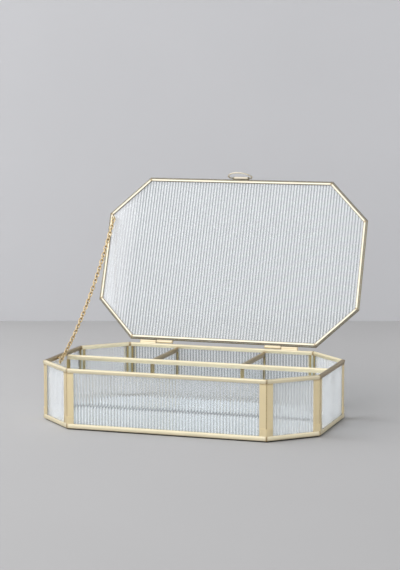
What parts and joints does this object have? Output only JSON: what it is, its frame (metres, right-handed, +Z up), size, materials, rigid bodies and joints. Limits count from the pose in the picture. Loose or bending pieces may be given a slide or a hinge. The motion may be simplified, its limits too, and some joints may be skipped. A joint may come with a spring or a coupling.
{
  "type": "jewelry box",
  "caption": "Octagonal ribbed-glass jewelry box in a brass frame, with divided mirror floor, hinged lid, lift ring and a chain stay, standing open.",
  "frame": {"origin": "centre of the underside of the base pad, on the surface that the box rests on", "axes": "+X right along the box's length, +Y to the hinged back, +Z up"},
  "size_m": [0.265, 0.2329, 0.2208],
  "materials": {
    "frame_brass": "satin, pale champagne brass",
    "hardware_brass": "polished",
    "chain_brass": "polished",
    "ribbed_glass": "clear, ribbed outside",
    "clear_glass": "clear, polished",
    "mirror_floor": "silvered glass",
    "pad": "thin felt"
  },
  "bodies": {
    "base": {"base_chain_eye": "chain_brass", "base_pad": "pad", "bottom_rail_back": "frame_brass", "bottom_rail_corners": "frame_brass", "bottom_rail_front": "frame_brass", "bottom_rail_left": "frame_brass", "bottom_rail_right": "frame_brass", "corner_foot_tabs": "frame_brass", "corner_strips": "frame_brass", "divider_end_channels": "frame_brass", "hinge_base_knuckles": "hardware_brass", "hinge_pins": "hardware_brass", "inner_corner_strips": "frame_brass", "long_divider_cap": "frame_brass", "long_divider_glass": "clear_glass", "mirror_floor": "mirror_floor", "short_divider_cap_left": "frame_brass", "short_divider_cap_right": "frame_brass", "short_divider_glass_left": "clear_glass", "short_divider_glass_right": "clear_glass", "top_rail_back": "frame_brass", "top_rail_back_left": "frame_brass", "top_rail_back_right": "frame_brass", "top_rail_front": "frame_brass", "top_rail_front_left": "frame_brass", "top_rail_front_right": "frame_brass", "top_rail_left": "frame_brass", "top_rail_right": "frame_brass", "wall_glass_back": "ribbed_glass", "wall_glass_back_left": "ribbed_glass", "wall_glass_back_right": "ribbed_glass", "wall_glass_front": "ribbed_glass", "wall_glass_front_left": "ribbed_glass", "wall_glass_front_right": "ribbed_glass", "wall_glass_left": "ribbed_glass", "wall_glass_right": "ribbed_glass"},
    "lid": {"handle_tube": "hardware_brass", "hinge_lid_knuckles": "hardware_brass", "lid_chain_eye": "chain_brass", "lid_glass": "ribbed_glass", "lid_rail_back": "frame_brass", "lid_rail_back_left": "frame_brass", "lid_rail_back_right": "frame_brass", "lid_rail_front": "frame_brass", "lid_rail_front_left": "frame_brass", "lid_rail_front_right": "frame_brass", "lid_rail_left": "frame_brass", "lid_rail_right": "frame_brass"},
    "lift_ring": {"handle_ring": "hardware_brass"},
    "chain_01": {"chain_run_01": "chain_brass"},
    "chain_02": {"chain_run_02": "chain_brass"},
    "chain_03": {"chain_run_03": "chain_brass"},
    "chain_04": {"chain_run_04": "chain_brass"},
    "chain_05": {"chain_run_05": "chain_brass"},
    "chain_06": {"chain_run_06": "chain_brass"},
    "chain_07": {"chain_run_07": "chain_brass"},
    "chain_08": {"chain_run_08": "chain_brass"},
    "chain_09": {"chain_run_09": "chain_brass"},
    "chain_10": {"chain_run_10": "chain_brass"},
    "chain_11": {"chain_run_11": "chain_brass"}
  },
  "joints": [
    {"name": "lid_hinge", "type": "hinge", "parent": "base", "child": "lid", "pos_m": [0, 0.0847, 0.057], "axis": [1, 0, 0], "range_deg": [0, 111.4], "deforming": ["chain_run_01", "chain_run_02", "chain_run_03", "chain_run_04", "chain_run_05", "chain_run_06", "chain_run_07", "chain_run_08", "chain_run_09", "chain_run_10", "chain_run_11"]},
    {"name": "ring_swing", "type": "hinge", "parent": "lid", "child": "lift_ring", "pos_m": [0, 0.14834, 0.2139], "axis": [1, 0, 0], "range_deg": [-212, 5]},
    {"name": "chain_01_fold", "type": "hinge", "parent": "base", "child": "chain_01", "pos_m": [-0.1288, -0.01472, 0.04877], "axis": [-0.641, 0.6634, -0.3861], "range_deg": [0, 132.3]},
    {"name": "chain_02_fold", "type": "hinge", "parent": "base", "child": "chain_02", "pos_m": [-0.13347, -0.01001, 0.04603], "axis": [-0.589, 0.6997, -0.4044], "range_deg": [0, 130.12]},
    {"name": "chain_03_fold", "type": "hinge", "parent": "base", "child": "chain_03", "pos_m": [-0.14421, 0.00111, 0.0395], "axis": [-0.0801, 0.8827, -0.463], "range_deg": [0, 111.71]},
    {"name": "chain_04_fold", "type": "hinge", "parent": "base", "child": "chain_04", "pos_m": [-0.15084, 0.01957, 0.02863], "axis": [0.3042, 0.8782, -0.3689], "range_deg": [0, 94.97]},
    {"name": "chain_05_fold", "type": "hinge", "parent": "base", "child": "chain_05", "pos_m": [-0.11385, 0.03239, 0.03684], "axis": [0.8545, 0.5153, 0.0657], "range_deg": [0, 139.97]},
    {"name": "chain_06_fold", "type": "hinge", "parent": "lid", "child": "chain_06", "pos_m": [-0.14015, -0.05707, 0.1932], "axis": [0.8064, -0.419, -0.4173], "range_deg": [0, 34.63]},
    {"name": "chain_07_fold", "type": "hinge", "parent": "lid", "child": "chain_07", "pos_m": [-0.13574, 0.05345, 0.16894], "axis": [0.551, -0.8143, -0.1823], "range_deg": [0, 90.53]},
    {"name": "chain_08_fold", "type": "hinge", "parent": "lid", "child": "chain_08", "pos_m": [-0.12027, 0.07737, 0.16011], "axis": [0.6948, -0.6713, -0.2581], "range_deg": [0, 151.75]},
    {"name": "chain_09_fold", "type": "hinge", "parent": "lid", "child": "chain_09", "pos_m": [-0.12405, 0.09044, 0.16259], "axis": [0.5357, -0.8118, -0.2324], "range_deg": [0, 171.56]},
    {"name": "chain_10_fold", "type": "hinge", "parent": "lid", "child": "chain_10", "pos_m": [-0.11808, 0.12284, 0.17104], "axis": [-0.9298, 0.3478, 0.1207], "range_deg": [0, 73.8]},
    {"name": "chain_11_fold", "type": "hinge", "parent": "lid", "child": "chain_11", "pos_m": [-0.13041, 0.12443, 0.17177], "axis": [-0.8546, -0.5037, -0.1259], "range_deg": [0, 75.49]}
  ],
  "couplings": [
    {"joint": "chain_01_fold", "follows": "lid_hinge", "ratio": 1.1858},
    {"joint": "chain_02_fold", "follows": "lid_hinge", "ratio": 1.1662},
    {"joint": "chain_03_fold", "follows": "lid_hinge", "ratio": 1.001},
    {"joint": "chain_04_fold", "follows": "lid_hinge", "ratio": 0.85068},
    {"joint": "chain_05_fold", "follows": "lid_hinge", "ratio": 1.2547},
    {"joint": "chain_06_fold", "follows": "lid_hinge", "ratio": 0.30909},
    {"joint": "chain_07_fold", "follows": "lid_hinge", "ratio": 0.81091},
    {"joint": "chain_08_fold", "follows": "lid_hinge", "ratio": 1.3604},
    {"joint": "chain_09_fold", "follows": "lid_hinge", "ratio": 1.5382},
    {"joint": "chain_10_fold", "follows": "lid_hinge", "ratio": 0.66068},
    {"joint": "chain_11_fold", "follows": "lid_hinge", "ratio": 0.67585}
  ]
}
